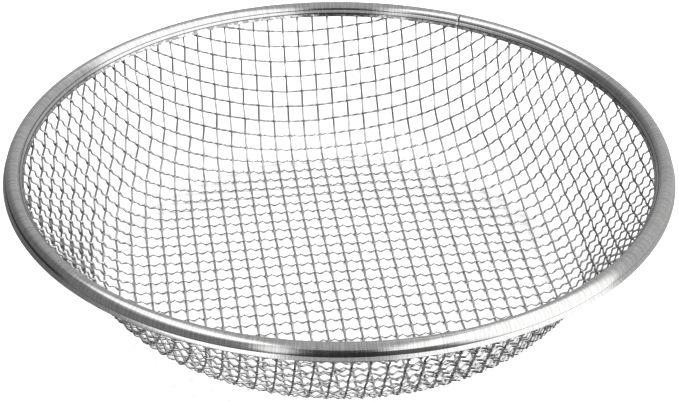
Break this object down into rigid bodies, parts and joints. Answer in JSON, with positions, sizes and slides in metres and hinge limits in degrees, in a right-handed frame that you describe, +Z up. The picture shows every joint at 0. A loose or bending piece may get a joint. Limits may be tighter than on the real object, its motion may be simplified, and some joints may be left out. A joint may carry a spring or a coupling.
{
  "type": "soil sieve",
  "caption": "Shallow round sieve: a flat-floored bowl of square-mesh steel wire cloth held in a rolled sheet-steel rim, for sifting soil and compost by hand.",
  "frame": {"origin": "centre of the plane the bowl rests on", "axes": "+Z up through the open mouth; warp wires run along Y, weft wires along X"},
  "size_m": [0.2966, 0.2966, 0.063],
  "materials": {
    "rim_band": "brushed across the rim, satin",
    "rim_hoop": "plain drawn steel",
    "warp_wires_01_02": "bright drawn wire",
    "warp_wires_03_04": "bright drawn wire",
    "warp_wires_05_06": "bright drawn wire",
    "warp_wires_07_08": "bright drawn wire",
    "warp_wires_09_10": "bright drawn wire",
    "warp_wires_11_12": "bright drawn wire",
    "warp_wires_13_14": "bright drawn wire",
    "warp_wires_15_16": "bright drawn wire",
    "warp_wire_17": "bright drawn wire",
    "warp_wire_18": "bright drawn wire",
    "warp_wire_19": "bright drawn wire",
    "warp_wire_20": "bright drawn wire",
    "warp_wire_21": "bright drawn wire",
    "warp_wire_22": "bright drawn wire",
    "warp_wire_23": "bright drawn wire",
    "warp_wire_24": "bright drawn wire",
    "warp_wire_25": "bright drawn wire",
    "warp_wire_26": "bright drawn wire",
    "warp_wire_27": "bright drawn wire",
    "warp_wire_28": "bright drawn wire",
    "warp_wires_29_30": "bright drawn wire",
    "warp_wires_31_32": "bright drawn wire",
    "warp_wires_33_34": "bright drawn wire",
    "warp_wires_35_36": "bright drawn wire",
    "warp_wires_37_38": "bright drawn wire",
    "warp_wires_39_40": "bright drawn wire",
    "warp_wires_41_42": "bright drawn wire",
    "warp_wires_43_44": "bright drawn wire",
    "weft_wires_01_02": "bright drawn wire",
    "weft_wires_03_04": "bright drawn wire",
    "weft_wires_05_06": "bright drawn wire",
    "weft_wires_07_08": "bright drawn wire",
    "weft_wires_09_10": "bright drawn wire",
    "weft_wires_11_12": "bright drawn wire",
    "weft_wires_13_14": "bright drawn wire",
    "weft_wires_15_16": "bright drawn wire",
    "weft_wire_17": "bright drawn wire",
    "weft_wire_18": "bright drawn wire",
    "weft_wire_19": "bright drawn wire",
    "weft_wire_20": "bright drawn wire",
    "weft_wire_21": "bright drawn wire",
    "weft_wire_22": "bright drawn wire",
    "weft_wire_23": "bright drawn wire",
    "weft_wire_24": "bright drawn wire",
    "weft_wire_25": "bright drawn wire",
    "weft_wire_26": "bright drawn wire",
    "weft_wire_27": "bright drawn wire",
    "weft_wire_28": "bright drawn wire",
    "weft_wires_29_30": "bright drawn wire",
    "weft_wires_31_32": "bright drawn wire",
    "weft_wires_33_34": "bright drawn wire",
    "weft_wires_35_36": "bright drawn wire",
    "weft_wires_37_38": "bright drawn wire",
    "weft_wires_39_40": "bright drawn wire",
    "weft_wires_41_42": "bright drawn wire",
    "weft_wires_43_44": "bright drawn wire"
  },
  "bodies": {
    "root": {"rim_band": "rim_band", "rim_hoop": "rim_hoop", "warp_wires_01_02": "warp_wires_01_02", "warp_wires_03_04": "warp_wires_03_04", "warp_wires_05_06": "warp_wires_05_06", "warp_wires_07_08": "warp_wires_07_08", "warp_wires_09_10": "warp_wires_09_10", "warp_wires_11_12": "warp_wires_11_12", "warp_wires_13_14": "warp_wires_13_14", "warp_wires_15_16": "warp_wires_15_16", "warp_wire_17": "warp_wire_17", "warp_wire_18": "warp_wire_18", "warp_wire_19": "warp_wire_19", "warp_wire_20": "warp_wire_20", "warp_wire_21": "warp_wire_21", "warp_wire_22": "warp_wire_22", "warp_wire_23": "warp_wire_23", "warp_wire_24": "warp_wire_24", "warp_wire_25": "warp_wire_25", "warp_wire_26": "warp_wire_26", "warp_wire_27": "warp_wire_27", "warp_wire_28": "warp_wire_28", "warp_wires_29_30": "warp_wires_29_30", "warp_wires_31_32": "warp_wires_31_32", "warp_wires_33_34": "warp_wires_33_34", "warp_wires_35_36": "warp_wires_35_36", "warp_wires_37_38": "warp_wires_37_38", "warp_wires_39_40": "warp_wires_39_40", "warp_wires_41_42": "warp_wires_41_42", "warp_wires_43_44": "warp_wires_43_44", "weft_wires_01_02": "weft_wires_01_02", "weft_wires_03_04": "weft_wires_03_04", "weft_wires_05_06": "weft_wires_05_06", "weft_wires_07_08": "weft_wires_07_08", "weft_wires_09_10": "weft_wires_09_10", "weft_wires_11_12": "weft_wires_11_12", "weft_wires_13_14": "weft_wires_13_14", "weft_wires_15_16": "weft_wires_15_16", "weft_wire_17": "weft_wire_17", "weft_wire_18": "weft_wire_18", "weft_wire_19": "weft_wire_19", "weft_wire_20": "weft_wire_20", "weft_wire_21": "weft_wire_21", "weft_wire_22": "weft_wire_22", "weft_wire_23": "weft_wire_23", "weft_wire_24": "weft_wire_24", "weft_wire_25": "weft_wire_25", "weft_wire_26": "weft_wire_26", "weft_wire_27": "weft_wire_27", "weft_wire_28": "weft_wire_28", "weft_wires_29_30": "weft_wires_29_30", "weft_wires_31_32": "weft_wires_31_32", "weft_wires_33_34": "weft_wires_33_34", "weft_wires_35_36": "weft_wires_35_36", "weft_wires_37_38": "weft_wires_37_38", "weft_wires_39_40": "weft_wires_39_40", "weft_wires_41_42": "weft_wires_41_42", "weft_wires_43_44": "weft_wires_43_44"}
  },
  "joints": []
}
